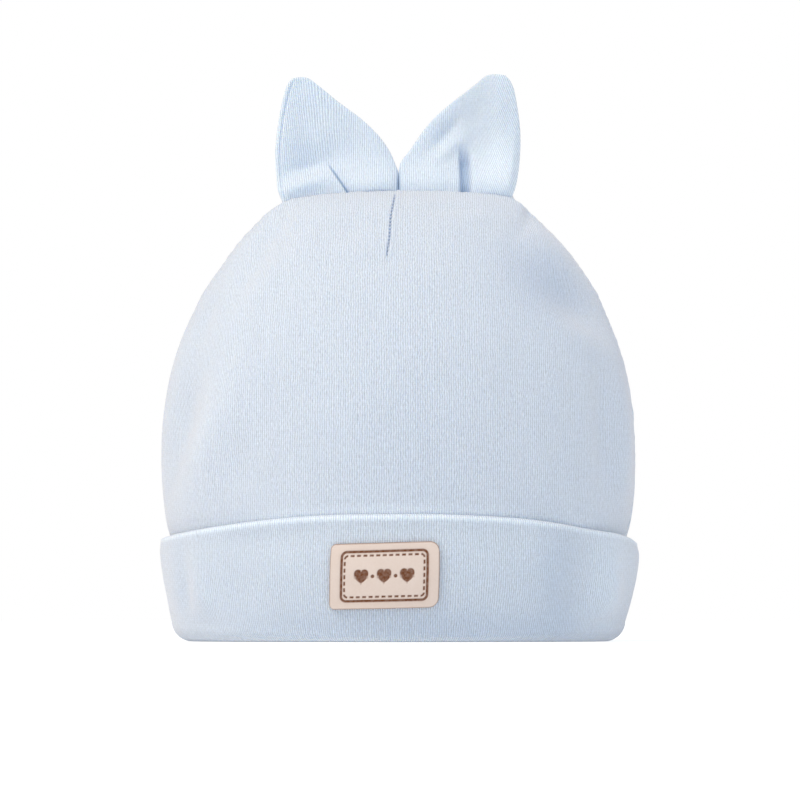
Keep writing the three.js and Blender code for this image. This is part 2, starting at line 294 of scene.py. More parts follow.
crownLow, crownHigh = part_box("crown_front")
crown = {
    "top": crownHigh.z / mm,
    "rim": crownLow.z / mm,
    "halfWidth": 63.5,
    "halfDepth": 54.0,
    "belly": 47.0,
    "rimHalfWidth": 50.5,
    "rimHalfDepth": 43.5,
    "seamHalf": 30.6,
    "archLeft": 2.1,       # how far the top seam falls towards its ends
    "archRight": 1.0,
    "archReach": 0.6,
    "cornerDrop": 0.3,
    "seamSwing": 8.0,
    "swingEase": 1.5,
    "riseEase": 1.1,
    "wall": 1.6,
    "clothHeight": 145.0,  # the way up the cloth
    "bendHeight": 131.0,   # the way up to where it bends in to the top seam
    "bendReach": 12.0,
    "step": 1.5,           # size of the mesh's faces
    "fineStep": 0.3,       # the same beside seams
    "fineReach": 2.6,
    "dartStep": 0.15,      # the same across the dart
    "dartReach": 2.0,
    "settle": (30, 42),    # dents begin above the cuff
    "seamCalm": (0, 3),    # and away from the seams
    "cornerCalm": (0.5, 3.5),  # nothing moves at the ends of the top seam
    "rollDepth": 1.0,      # the cloth turns in at the seams
    "rollWidth": 0.7,
    "thinReach": 2.5,      # and thins towards them, down to the share
    "thinShare": 0.2,
    "pucker": 0.08,
    "puckerPitch": 2.6,
    "puckerIn": 1.6,
    "puckerReach": 1.5,
    "puckerRise": (20, 32),
    "unevenDepth": 0.16,
    "unevenWave": 17.0,
    "leftSlump": 1.2,      # how far both sides sink in
    "rightSlump": 0.6,
    "slumpHeight": 97.0,
    "slumpReach": 17.0,
    "slumpSpread": 1.5,
    "leftShoulder": 0.5,   # how far both shoulders sink in just below the top seam
    "rightShoulder": 1.5,
    "shoulderHeight": 113.0,
    "shoulderReach": 7.5,
    "cuffHeight": 32.7,    # the cuff's free edge in front, and at the sides
    "cuffSideHeight": 27.5,
    "footPaintedLight": 0.4,      # painted light on the cloth just above the cuff
    "footRise": 0.5,
    "footReach": 1.5,
}

# rise is the share of the way up from the belly; width goes from the top seam's out to the full one
crownUpper = {
    "rise": [0.0, 0.1, 0.2, 0.31, 0.42, 0.53, 0.635, 0.745, 0.85, 0.905, 0.958, 1.0],
    "width": [1.0, 0.997, 0.981, 0.945, 0.878, 0.795, 0.7, 0.545, 0.38, 0.265, 0.135, 0.0],
    "depth": [1.0, 0.993, 0.975, 0.945, 0.895, 0.825, 0.735, 0.605, 0.44, 0.335, 0.19, 0.0],
}
crownLower = {
    "drop": [0.0, 0.21, 0.41, 0.65, 0.83, 1.0],
    "swell": [1.0, 0.97, 0.865, 0.56, 0.25, 0.0],
}

# a is millimetres round the hat from the middle of the panel, b is height
frontDents = [
    {"at": (-69, 57), "size": (7.0, 19), "lean": 33, "depth": -3.2},
    {"at": (-51, 56), "size": (7.5, 17), "lean": 30, "depth": 1.7},
    {"at": (-42, 50), "size": (6.0, 15), "lean": 20, "depth": -0.5},
    {"at": (-60, 84), "size": (3.6, 9), "lean": 30, "depth": -0.9},
    {"at": (-42, 98), "size": (3.2, 12), "lean": 42, "depth": -1.0},
    {"at": (-37, 93), "size": (3.4, 11), "lean": 45, "depth": 0.6},
    {"at": (-36, 109), "size": (3.0, 11), "lean": 48, "depth": -1.2},
    {"at": (-15, 107.5), "size": (2.8, 8), "lean": 70, "depth": -0.7},
    {"at": (-26, 103), "size": (4, 10), "lean": 60, "depth": 0.6},
    {"at": (44, 104), "size": (5.5, 12), "lean": -62, "depth": 1.1},
    {"at": (52, 90), "size": (6.5, 14), "lean": -68, "depth": -2.6},
    {"at": (55, 79), "size": (4.5, 12), "lean": -75, "depth": 0.8},
    {"at": (61, 56), "size": (4.5, 17), "lean": -4, "depth": -1.2},
    {"at": (73, 54), "size": (6.0, 18), "lean": -3, "depth": 1.7},
    {"at": (38, 113.5), "size": (3.2, 8), "lean": 35, "depth": -1.1},
    {"at": (-4.5, 99.2), "size": (2.0, 7.5), "lean": 90, "depth": -0.8},
    {"at": (13, 115), "size": (2.0, 5), "lean": 78, "depth": -0.5},
    {"at": (20, 111.5), "size": (2.4, 6), "lean": 70, "depth": 0.4},
    {"at": (9, 60), "size": (14, 22), "lean": 20, "depth": 0.4},
    {"at": (-22, 74), "size": (7, 20), "lean": -24, "depth": -0.4},
]
backDents = [
    {"at": (60, 60), "size": (6.0, 20), "lean": -9, "depth": -1.2},
    {"at": (48, 62), "size": (5.5, 17), "lean": -9, "depth": 0.7},
    {"at": (-52, 92), "size": (6.5, 12), "lean": -30, "depth": -1.5},
    {"at": (-64, 60), "size": (6.5, 22), "lean": 6, "depth": -0.9},
    {"at": (-20, 80), "size": (8, 20), "lean": 22, "depth": -0.4},
    {"at": (24, 104), "size": (4, 11), "lean": 55, "depth": -0.6},
    {"at": (4, 99.5), "size": (2.6, 9), "lean": 90, "depth": -0.35},
]
# the same for painted shade (depth above 0) and painted light (below 0) on the cloth
frontPaintedShading = [
    {"at": (42, 95), "size": (10, 16), "lean": -62, "depth": 0.17},
    {"at": (68, 54), "size": (5, 17), "lean": -3, "depth": 0.03},
    {"at": (76, 80), "size": (5, 20), "lean": -12, "depth": 0.06},
    {"at": (-60, 54), "size": (7, 16), "lean": 30, "depth": -0.11},
    {"at": (-46, 92), "size": (15, 26), "lean": 25, "depth": -0.06},
    {"at": (-40, 110), "size": (7, 14), "lean": 50, "depth": -0.05},
    {"at": (0, 50), "size": (18, 16), "lean": 90, "depth": 0.04},
]
backPaintedShading = [
    {"at": (-50, 90), "size": (8, 12), "lean": -30, "depth": 0.06},
    {"at": (52, 58), "size": (7, 17), "lean": -9, "depth": -0.05},
]
# the darts run down from the top seam, stitched at the pitch, with a ridge and a lower flank beside
dartStitch = {
    "depth": 0.62,
    "width": 0.24,
    "pitch": 1.07,
    "start": 2.2,
    "slant": 0.12,
    "wander": 0.15,
    "ridge": 0.3,
    "ridgeSide": 0.85,
    "ridgeWidth": 0.55,
    "flankSide": -0.95,
    "flankWidth": 0.6,
    "flankShare": 0.45,
    "pucker": 0.2,
}
frontPanel = {"side": -1, "seed": 1, "dents": frontDents, "paintedShading": frontPaintedShading,
              "dart": {"top": -0.9, "foot": -3.0, "footHeight": 100.6}}
backPanel = {"side": 1, "seed": 2, "dents": backDents, "paintedShading": backPaintedShading,
             "dart": {"top": 0.3, "foot": 1.6, "footHeight": 103.5}}


def crownHalves(height):
    rise = np.clip((height - crown["belly"]) / (crown["top"] - crown["belly"]), 0, 1)
    drop = np.clip((crown["belly"] - height) / (crown["belly"] - crown["rim"]), 0, 1)
    upper = height >= crown["belly"]
    swell = smoothTable(crownLower, "drop", "swell", drop)
    widthAbove = lerp(crown["seamHalf"], crown["halfWidth"], smoothTable(crownUpper, "rise", "width", rise))
    widthBelow = lerp(crown["rimHalfWidth"], crown["halfWidth"], swell)
    depthAbove = crown["halfDepth"] * smoothTable(crownUpper, "rise", "depth", rise)
    depthBelow = lerp(crown["rimHalfDepth"], crown["halfDepth"], swell)
    return np.where(upper, widthAbove, widthBelow), np.where(upper, depthAbove, depthBelow)


def crownArch(x, share):
    # how far the cloth hangs below a level top seam
    follow = smoothStep(share, crown["archReach"], 1)
    end = smoothStep(np.abs(x), crown["seamHalf"] - 3.0, crown["seamHalf"] + 0.6)
    arch = np.where(x < 0, crown["archLeft"], crown["archRight"])
    fall = arch * np.minimum((x / crown["seamHalf"]) ** 2, 1) + crown["cornerDrop"] * end
    return fall * follow


def crownSheet(panel):
    # the panel's outer surface, its place round and up the cloth, how dark and how thick it is
    side, dart = panel["side"], panel["dart"]
    length = math.pi * (crown["halfWidth"] + crown["halfDepth"]) / 2
    middle = length / 2 + (dart["top"] + dart["foot"]) / 2
    fine, reach, top = crown["fineStep"], crown["fineReach"], crown["clothHeight"]
    across = stops(length, crown["step"], (0, fine, reach), (middle, crown["dartStep"], crown["dartReach"]),
                   (length, fine, reach))
    climb = stops(top, crown["step"], (top, fine, reach), (crown["bendHeight"], fine, crown["bendReach"]))
    u, v = np.meshgrid(across / length, climb / top)
    share = 1 - (1 - v) ** crown["riseEase"]
    swing = -math.asin(crown["seamSwing"] / crown["rimHalfDepth"]) * (1 - share) ** crown["swingEase"]
    angle = (math.pi if side < 0 else 0) + math.pi * u + swing
    height = lerp(crown["rim"], crown["top"], share)
    width, depth = crownHalves(height)
    x = width * np.cos(angle)
    slump = np.where(x < 0, crown["leftSlump"], -crown["rightSlump"])
    slump = slump * np.clip(np.abs(x) / crown["halfWidth"] * crown["slumpSpread"], 0, 1)
    x += slump * bell(height, crown["slumpHeight"], crown["slumpReach"])
    shoulder = np.where(x < 0, crown["leftShoulder"], -crown["rightShoulder"])
    x += shoulder * bell(height, crown["shoulderHeight"], crown["shoulderReach"]) * np.abs(x) / width
    points = np.stack([x, depth * np.sin(angle), height - crownArch(x, share)], axis=2)
    rightwards = arcAlong(points, 1)
    facing = (math.pi * 1.5 if side < 0 else math.pi / 2)
    a = np.array([row - np.interp(facing, turn, row) for row, turn in zip(rightwards, angle)])
    upwards = arcAlong(points, 0)
    fromSide = np.minimum(rightwards, rightwards[:, -1:] - rightwards)
    fromTop = upwards[-1:, :] - upwards
    fromSeam = np.minimum(fromSide, fromTop)
    b = points[:, :, 2]
    settle = smoothStep(b, *crown["settle"]) * smoothStep(fromSeam, *crown["seamCalm"])
    push = dents(panel["dents"], a, b) * settle
    push += crown["unevenDepth"] * unevenness(points, crown["unevenWave"], panel["seed"]) * settle
    push -= crown["rollDepth"] * bell(fromSeam, 0, crown["rollWidth"])
    along = np.where(fromTop < fromSide, a, b)
    wobble = unevenness(np.stack([along * 0.35, 0 * along, 0 * along], axis=2), 1.0, panel["seed"] + 3)
    pull = np.cos(2 * math.pi * along / crown["puckerPitch"] + 1.6 * wobble) + 0.8 * wobble
    pull *= bell(fromSeam, crown["puckerIn"], crown["puckerReach"])
    push += crown["pucker"] * pull * smoothStep(b, *crown["puckerRise"])
    push *= smoothStep(np.hypot(fromSide, fromTop), *crown["cornerCalm"])
    relief, dark = dartShape(dart, a, b)
    cuffEdge = lerp(crown["cuffSideHeight"], crown["cuffHeight"], np.sin(angle) ** 2)
    # painted shade and painted light from the table
    dark += dents(panel["paintedShading"], a, b)
    # painted light above the cuff's free edge, where it shades the crown
    dark -= crown["footPaintedLight"] * bell(b, cuffEdge + crown["footRise"], crown["footReach"])
    normals = normalsOf(points)
    normals[-1] = (0, 0, 1)
    normals[-1, 0] = normals[-1, 1]
    points = points + normals * (push + relief)[:, :, None]
    cloth = np.stack([a, upwards], axis=2)
    return points, cloth, dark, np.clip(fromSeam / crown["thinReach"], crown["thinShare"], 1)


def dartShape(dart, a, b):
    # the stitched groove with a ridge on one side and a lower one on the other, and how dark its ticks are:
    # partly the stitches' own colour, partly painted shade in the groove
    line = dartStitch
    below = crown["top"] - b
    down = np.clip(below / (crown["top"] - dart["footHeight"]), 0, 1.6)
    off = a - lerp(dart["top"], dart["foot"], down) - line["wander"] * np.sin(below * 0.5)
    run = smoothStep(below, line["start"] * 0.5, line["start"] * 1.4) * (1 - smoothStep(down, 0.94, 1.04))
    turn = 2 * math.pi * below / line["pitch"]
    tick = 0.5 + 0.5 * np.cos(turn)
    groove = bell(off + line["slant"] * np.sin(turn), 0, line["width"])
    ridge = bell(off, line["ridgeSide"], line["ridgeWidth"]) * (0.6 + 0.4 * tick)
    flank = bell(off, line["flankSide"], line["flankWidth"]) * line["flankShare"] * (0.4 + 0.6 * tick)
    pucker = line["pucker"] * bell(a, 0.3, 1.5) * bell(below, 1.0, 1.3) * np.cos(a * 4.0)
    relief = (line["ridge"] * (ridge + flank) - line["depth"] * groove * (0.55 + 0.45 * tick)) * run + pucker
    return relief, groove * (0.1 + 0.9 * tick) * run


def makePanel(name, node, panel):
    points, cloth, dark, thick = crownSheet(panel)
    piece = layCloth(name, points, cloth, dark)
    lining = piece.modifiers.new("lining", "SOLIDIFY")
    lining.thickness = crown["wall"] * mm
    lining.offset = -1
    thin = piece.vertex_groups.new(name="thickness")
    for k, share in enumerate(np.round(thick.ravel(), 2)):
        thin.add([k], share, "REPLACE")
    lining.vertex_group = "thickness"
    applyAll(piece)
    shadeSmooth(piece)
    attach(piece, "root")
    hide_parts(node)
    return piece


crownFront = makePanel("crownFront", "crown_front", frontPanel)
crownBack = makePanel("crownBack", "crown_back", backPanel)
print("crown made")


# Cuff: one sheet from the crown's lower edge, round the fold and up outside

cuff = {
    "wall": 2.0,
    "edgeWall": 1.3,       # thinner towards the free edge
    "edgePaintedHighlight": 0.62,     # and a painted highlight on it
    "foldPaintedLight": 0.7,      # painted light on the cloth at the fold
    "foldPaintedLightReach": 0.9,
    "foldRadius": 0.6,
    "sideFoldRadius": 3.5,
    "foot": 2.0,           # how wide the hat stands on the fold
    "sideFoot": 0.8,
    "bulge": 0.9,
    "gap": 1.0,            # between the free edge and the crown
    "sideGap": 1.5,
    "underCrown": 0.03,    # from the crown's lower edge to the cloth that goes on from it
    "columns": 400,
    "foldSteps": 9,
    "legSteps": 26,
    "edgeSteps": 8,
    "unevenDepth": 0.28,
    "unevenWave": 20.0,
    "unevenSeed": 5,
    "edgeWaver": 0.35,     # the free edge goes a little up and down
    "waverWave": 24.0,
    "waverSeed": 8,
    "waverRing": 60.0,
    "waverRise": (12, 27),
    "settle": (4, 12),
    "aroundShare": 0.97,   # the way round at the free edge, as counted for the dents
    "clothShift": 4.0,
    "leanIn": 1.75,        # how far the free edge comes back to the crown
    "leanReach": 9.0,
    "rollOut": 0.42,       # the rolled edge stands out
    "rollDown": 0.4,
    "rollReach": 1.2,
    "rightTurn": 0.6,      # and turns in at the sides
    "leftTurn": 0.35,
    "turnReach": 1.7,
    "rightDip": 0.9,       # the free edge dips at the sides
    "leftDip": 0.5,
    "dipReach": 0.25,
}
# a is millimetres round the cuff from the middle of the front, b is height
cuffDents = [
    {"at": (-34, 26), "size": (4, 16), "lean": 88, "depth": -0.7},
    {"at": (-67, 12), "size": (4.0, 12), "lean": 8, "depth": -1.1},
    {"at": (-58, 10), "size": (4.5, 10), "lean": 10, "depth": 0.9},
    {"at": (-44, 14), "size": (6, 14), "lean": -12, "depth": -0.5},
    {"at": (37, 14), "size": (7, 14), "lean": 10, "depth": 0.5},
    {"at": (52, 13), "size": (7.5, 18), "lean": 3, "depth": -1.9},
    {"at": (66, 12), "size": (6.0, 14), "lean": -4, "depth": 1.3},
    {"at": (20, 8), "size": (4, 12), "lean": 84, "depth": 0.3},
    {"at": (88, 14), "size": (16, 14), "lean": 0, "depth": 0.1},
    {"at": (-88, 12), "size": (16, 12), "lean": 0, "depth": -0.55},
    {"at": (120, 16), "size": (9, 16), "lean": 12, "depth": -0.7},
    {"at": (-110, 16), "size": (9, 16), "lean": -14, "depth": -0.7},
    {"at": (160, 20), "size": (10, 12), "lean": 60, "depth": 0.5},
]
# the same for painted shade (depth above 0) and painted light on the cloth
cuffPaintedShading = [
    {"at": (45, 16), "size": (8, 13), "lean": 5, "depth": 0.13},
    {"at": (66, 15), "size": (9, 16), "lean": 0, "depth": -0.19},
    {"at": (-52, 10), "size": (6, 9), "lean": 10, "depth": -0.05},
    {"at": (10, 3), "size": (5, 50), "lean": 90, "depth": 0.1},
]


def cuffSection(rim, bend, flat, edge, height):
    # outline of the cloth in one upright plane, round from the crown's edge and back on the hidden side
    radius = bend + cuff["wall"]
    start = rim - crown["wall"]
    top = crown["rim"] - cuff["underCrown"]
    outer, inner = [(start, top)], [(rim, top)]
    for half in (0, 1):
        middle = start + radius + half * flat
        for k in range(cuff["foldSteps"] + 1):
            share = (half + k / cuff["foldSteps"]) / 2
            turn = math.pi * (1 + share)
            hollow = radius - lerp(crown["wall"], cuff["wall"], share)
            outer.append((middle + radius * math.cos(turn), radius * (1 + math.sin(turn))))
            inner.append((middle + hollow * math.cos(turn), radius + hollow * math.sin(turn)))
    foot = np.array([start + 2 * radius + flat, radius])
    head = np.array([edge, height - cuff["edgeWall"] / 2])
    along = (head - foot) / np.linalg.norm(head - foot)
    normal = np.array([along[1], -along[0]])
    for k in range(1, cuff["legSteps"] + 1):
        share = k / cuff["legSteps"]
        place = lerp(foot, head, share) + normal * cuff["bulge"] * 4 * share * (1 - share)
        outer.append(tuple(place))
        inner.append(tuple(place - normal * lerp(cuff["wall"], cuff["edgeWall"], smoothStep(share, 0.5, 1))))
    over = []
    middle = (np.array(outer[-1]) + np.array(inner[-1])) / 2
    for k in range(1, cuff["edgeSteps"]):
        turn = math.pi * k / cuff["edgeSteps"]
        over.append(tuple(middle + cuff["edgeWall"] / 2 * (normal * math.cos(turn) + along * math.sin(turn))))
    return np.array(outer + over + inner[::-1] + outer[:1])


def cuffSheet():
    # the section at the sides and the one in front, blended round the hat
    height, sideHeight = crown["cuffHeight"], crown["cuffSideHeight"]
    sideEdge = float(crownHalves(np.array([sideHeight]))[0][0]) + cuff["sideGap"] + cuff["wall"]
    frontEdge = float(crownHalves(np.array([height]))[1][0]) + cuff["gap"] + cuff["wall"]
    sides = cuffSection(crown["rimHalfWidth"], cuff["sideFoldRadius"], cuff["sideFoot"], sideEdge, sideHeight)
    front = cuffSection(crown["rimHalfDepth"], cuff["foldRadius"], cuff["foot"], frontEdge, height)
    angle = np.linspace(-1.5 * math.pi, 0.5 * math.pi, cuff["columns"] + 1)
    x = np.outer(sides[:, 0], np.cos(angle))
    y = np.outer(front[:, 0], np.sin(angle))
    z = lerp(sides[:, 1:], front[:, 1:], (np.sin(angle) ** 2)[None, :])
    return np.stack([x, y, z], axis=2), angle


def makeCuff():
    points, angle = cuffSheet()
    legStart = 1 + 2 * (cuff["foldSteps"] + 1)
    edgeRow = legStart + cuff["legSteps"] - 1
    arc = arcAlong(points, 1)
    middleColumn = int(np.argmin(np.abs(angle + math.pi / 2)))
    a = arc - arc[:, middleColumn:middleColumn + 1]
    around = np.repeat(a[edgeRow:edgeRow + 1] * cuff["aroundShare"], len(points), axis=0)
    b = points[:, :, 2]
    rightward, frontward = np.cos(angle), np.sin(angle)
    # both faces of the cloth move the same way, straight out from the middle of the hat
    settle = smoothStep(b, *cuff["settle"])
    below = points[edgeRow][:, 2] - b
    push = dents(cuffDents, around, b) * settle
    push += cuff["unevenDepth"] * unevenness(points, cuff["unevenWave"], cuff["unevenSeed"]) * settle
    push -= cuff["leanIn"] * bell(np.maximum(below, 0), 0, cuff["leanReach"]) * frontward ** 2
    atSides = rightward ** 8
    push += cuff["rollOut"] * (1 - atSides) * bell(below, cuff["rollDown"], cuff["rollReach"])
    sideTurn = np.where(rightward > 0, cuff["rightTurn"], cuff["leftTurn"]) * atSides
    push -= sideTurn * bell(np.maximum(below, 0), 0, cuff["turnReach"])
    isLeg = np.zeros((len(points), 1))
    isLeg[legStart:-(legStart + 1)] = 1
    push *= isLeg
    points[:, :, 0] += push * rightward
    points[:, :, 1] += push * frontward
    ring = np.stack([rightward, frontward, 0 * angle], axis=1) * cuff["waverRing"]
    turnRight = np.arccos(np.clip(rightward, -1, 1))
    waver = cuff["edgeWaver"] * unevenness(ring[None], cuff["waverWave"], cuff["waverSeed"])[0]
    waver -= cuff["rightDip"] * bell(turnRight, 0, cuff["dipReach"])
    waver -= cuff["leftDip"] * bell(turnRight, math.pi, cuff["dipReach"])
    points[:, :, 2] += waver * smoothStep(b, *cuff["waverRise"]) * isLeg
    cloth = np.stack([around + cuff["clothShift"], arcAlong(points, 0)], axis=2)
    # a painted highlight along the free edge, weaker towards the right
    glint = cuff["edgePaintedHighlight"] * (1 - 0.5 * smoothStep(rightward, 0.3, 0.9))
    # painted shade and painted light from the table, less the painted highlight
    dark = dents(cuffPaintedShading, around, b) - glint * bell(below, 0.05, 0.5)
    # painted light at the fold, against its shade on the floor
    dark -= cuff["foldPaintedLight"] * bell(b, 0, cuff["foldPaintedLightReach"])
    dark[-(legStart + 1):] = 0
    piece = layCloth("cuffCloth", points, cloth, dark)
    joinEdges(piece)
    shadeSmooth(piece)
    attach(piece, "root")
    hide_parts("cuff")
    return piece, points[legStart - 1:edgeRow + 1], a[legStart - 1:edgeRow + 1]


cuffCloth, cuffLeg, cuffLegRound = makeCuff()
print("cuff made")


# Ears: two turned layers each, puffed, pleated and set in the top seam

ears = {
    "front": 1.9,          # half thickness at the fullest place
    "back": 1.6,
    "edge": 0.6,           # half thickness along the turned seam
    "edgeRound": 0.75,
    "sink": 1.0,           # how deep the base sits in the seam
    "cup": 1.0,
    "tipSide": 26.0,       # how far out the tip stands
    "reach": 33.0,         # and the outer edge
    "fullWidth": 26.0,     # fully puffed from this width on
    "columns": 150,
    "rows": 120,
    "tipCrowd": 0.85,
    "backShare": -0.8,     # how much the back follows the front's dents
    "tipRise": 0.4,
    "unevenDepth": 0.2,
    "unevenWave": 9.0,
}
# how far back each height of an ear lies
earLean = {
    "height": [0.0, 3.0, 6.0, 9.0, 12.0, 16.0, 24.0, 36.0],
    "back": [0.0, 0.5, 2.0, 3.6, 4.7, 5.2, 5.0, 4.0],
}
# outlines: up is the share of the ear's height, both edges are millimetres from the middle of the hat
leftOutline = {
    "up": [0.0, 0.08, 0.21, 0.28, 0.41, 0.54, 0.675, 0.805, 0.897, 0.946, 0.975, 0.992, 1.0],
    "inner": [-0.05, -0.05, 0.1, 0.75, 2.55, 5.7, 10.5, 16.4, 20.2, 22.3, 23.6, 24.6, 25.9],
    "outer": [31.3, 32.4, 33.1, 33.3, 33.4, 33.0, 32.4, 31.5, 30.7, 30.0, 29.2, 28.3, 26.7],
}
rightOutline = {
    "up": [0.0, 0.08, 0.21, 0.275, 0.4, 0.53, 0.66, 0.788, 0.9, 0.948, 0.976, 0.993, 1.0],
    "inner": [-0.05, -0.05, 0.1, 0.55, 3.4, 6.3, 10.1, 15.1, 20.0, 22.0, 23.2, 24.4, 25.8],
    "outer": [30.5, 31.5, 32.4, 32.7, 33.0, 33.0, 32.6, 31.9, 31.0, 30.2, 29.4, 28.4, 26.8],
}
# a is millimetres outwards from the middle of the hat, b is height above the seam
leftDents = [
    {"at": (25.0, 4.4), "size": (2.5, 8.0), "lean": -77, "depth": 1.5},
    {"at": (25.0, 8.5), "size": (2.4, 6.5), "lean": -77, "depth": -2.4},
    {"at": (24.0, 12.0), "size": (3.5, 8.0), "lean": -77, "depth": -0.9},
    {"at": (25.5, 19), "size": (3.0, 9), "lean": 14, "depth": -0.5},
    {"at": (4.5, 5.0), "size": (6.5, 8.0), "lean": 0, "depth": 1.4},
    {"at": (18.0, 22), "size": (2.6, 8), "lean": 32, "depth": 0.35},
]
rightDents = [
    {"at": (12.9, 17.4), "size": (1.7, 5.0), "lean": 40, "depth": -1.3},
    {"at": (14.0, 13.4), "size": (1.8, 6.5), "lean": 52, "depth": 1.0},
    {"at": (11.0, 6.5), "size": (3.4, 4.5), "lean": 10, "depth": 0.7},
    {"at": (30.5, 7.0), "size": (8.0, 9.0), "lean": 0, "depth": 2.2},
    {"at": (21.0, 23), "size": (2.8, 8), "lean": 24, "depth": -0.4},
    {"at": (27.5, 20), "size": (2.2, 9), "lean": -4, "depth": 0.35},
]
# the same for painted shade (depth above 0) and painted light on the cloth; the last row is painted shade in
# the slit where the two ears meet
leftPaintedShading = [
    {"at": (24, 12.5), "size": (3.5, 8), "lean": -77, "depth": 0.08},
    {"at": (24, 30), "size": (6, 8), "lean": 0, "depth": 0.05},
    {"at": (25, 2.0), "size": (1.8, 6), "lean": -80, "depth": 0.08},
    {"at": (0.0, 2.0), "size": (0.45, 5.5), "lean": 0, "depth": 0.8},
]
rightPaintedShading = [
    {"at": (25.5, 7), "size": (6, 10), "lean": 0, "depth": -0.19},
    {"at": (10, 20), "size": (3, 9), "lean": 40, "depth": 0.05},
    {"at": (9, 5), "size": (6, 5), "lean": 0, "depth": -0.05},
    {"at": (0.0, 2.0), "size": (0.45, 5.5), "lean": 0, "depth": 0.8},
]
# a tuck is a step in the cloth on a line from foot to head, deepest over the width beside it; dark is painted
# shade in the fold beside the step, over darkWidth
leftTuck = {"foot": 13.7, "head": 19.3, "rise": 9.9, "side": -1, "depth": 1.3, "sharp": 0.1,
            "width": 0.1, "recover": 2.8, "dark": 0.75, "darkWidth": 0.36}
rightTuck = {"foot": 16.6, "head": 16.4, "rise": 13.0, "side": 1, "depth": 2.3, "sharp": 0.16,
             "width": 2.2, "recover": 0.9, "dark": 0.44, "darkWidth": 1.55}
# rolled is how deep the line beside the turned edge is, and waleLean how far the knit leans outside
leftEar = {"side": -1, "seed": 11, "outline": leftOutline, "dents": leftDents, "paintedShading": leftPaintedShading,
           "tuck": leftTuck, "rolled": 0.7, "waleLean": 0.1}
rightEar = {"side": 1, "seed": 12, "outline": rightOutline, "dents": rightDents, "paintedShading": rightPaintedShading,
            "tuck": rightTuck, "rolled": 0.0, "waleLean": -0.42}


def tuckShape(tuck, a, b):
    line = lerp(tuck["foot"], tuck["head"], b / tuck["rise"])
    off = (a - line) * tuck["side"]
    low = 0.5 * (1 + np.tanh(off / tuck["sharp"]))
    past = np.maximum(off - tuck["width"], 0) / tuck["recover"]
    fade = 1 - smoothStep(b, 0.62 * tuck["rise"], 1.13 * tuck["rise"])
    # painted shade in the fold beside the step
    middle = 0.8 * tuck["darkWidth"]
    dark = tuck["dark"] * np.exp(-np.abs((off - middle) / tuck["darkWidth"]) ** 3) * fade
    return -tuck["depth"] * low * np.exp(-past**2) * fade, dark


def earFaces(ear, height):
    # front and back of an ear, its places outwards and up, and how dark the front is
    side, tuck = ear["side"], ear["tuck"]
    middle = 0.5 * (tuck["foot"] + tuck["head"]) / ears["reach"]
    across = stops(1.0, 1.5 / ears["columns"], (0.0, 0.4 / ears["columns"], 0.03),
                   (middle, 0.5 / ears["columns"], 0.1), (1.0, 0.4 / ears["columns"], 0.03))
    u, v = np.meshgrid(across, np.linspace(0, 1, ears["rows"] + 1))
    v = lerp(v, np.sin(math.pi * v / 2), ears["tipCrowd"])
    inner = smoothTable(ear["outline"], "up", "inner", v)
    outer = smoothTable(ear["outline"], "up", "outer", v)
    a = lerp(inner, outer, u)
    b = v * height
    level = crownArch(np.full_like(a, side * ears["tipSide"]), np.ones_like(a))
    arch = lerp(crownArch(side * a, np.ones_like(a)), level, smoothStep(v, 0.0, 0.35))
    seam = crown["top"] - arch - ears["sink"]
    fromEdge = np.minimum(a - inner, outer - a)
    fromTip = height - b
    fromSeam = np.minimum(fromEdge, fromTip)
    rim = np.sqrt(np.clip(1 - (1 - np.clip(fromSeam / ears["edgeRound"], 0, 1)) ** 2, 0, 1))
    wide = np.maximum(outer - inner, 0.1)
    full = np.clip(4 * (a - inner) * (outer - a) / wide**2, 0, 1)
    puff = full**0.6 * smoothStep(fromTip, 0, 7) * np.minimum(wide / ears["fullWidth"], 1)
    puff *= lerp(0.3, 1, smoothStep(b, -2, 6))
    back = smoothTable(earLean, "height", "back", b)
    back += ears["cup"] * full * (1 - smoothStep(v, 0.3, 0.9)) * smoothStep(b, 0, 9)
    seamLine = bell(fromEdge, 1.25, 0.28) * (outer - a < wide / 2) * smoothStep(fromTip, 0, 3)
    hollows = dents(ear["dents"], a, b)
    fold, dark = tuckShape(tuck, a, b)
    faces = []
    for facing, half in ((-1, ears["front"]), (1, ears["back"])):
        thick = ears["edge"] * rim + (half - ears["edge"]) * puff * rim
        follow = 1 if facing < 0 else ears["backShare"]
        relief = follow * hollows - (ear["rolled"] * seamLine if facing < 0 else 0)
        spots = np.stack([a * side, b, np.full_like(a, 30.0 * facing)], axis=2)
        relief += ears["unevenDepth"] * unevenness(spots, ears["unevenWave"], ear["seed"])
        relief *= smoothStep(fromSeam, 0, 2.2) * smoothStep(b, -0.5, 1.2)
        y = back + facing * (thick + relief + follow * fold * smoothStep(fromSeam, 0, 1.5))
        faces.append(np.stack([side * a, y, seam + b], axis=2))
    # the front's painted shade in the tuck, with painted shade and painted light from the table
    return faces, a, b, dark + dents(ear["paintedShading"], a, b)


def makeEar(name, node, ear):
    side = ear["side"]
    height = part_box(node)[1].z / mm - crown["top"] + ears["sink"] + ears["tipRise"]
    height += float(crownArch(side * ears["tipSide"], 1.0))
    (front, back), a, b, dark = earFaces(ear, height)
    drift = ear["waleLean"] * smoothStep(a, 13, 27) * b
    cloth = np.stack([side * (a - drift), b], axis=2)
    if side < 0:
        front, cloth, dark = front[:, ::-1], cloth[:, ::-1], dark[:, ::-1]
    else:
        back = back[:, ::-1]
    piece = layCloth(name, front, cloth, dark)
    behind = layCloth(name + "Back", back, cloth[:, ::-1] + np.array([80.0, 0.0]))
    selectOnly(behind, piece)
    bpy.ops.object.join()
    joinEdges(piece)
    shadeSmooth(piece, 80)
    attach(piece, "root")
    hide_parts(node)
    return piece


earLeft = makeEar("earLeft", "ear_left", leftEar)
earRight = makeEar("earRight", "ear_right", rightEar)
print("ears made")


# Patch: a leather plate on the cuff with an engraved border and a dashed line inside it

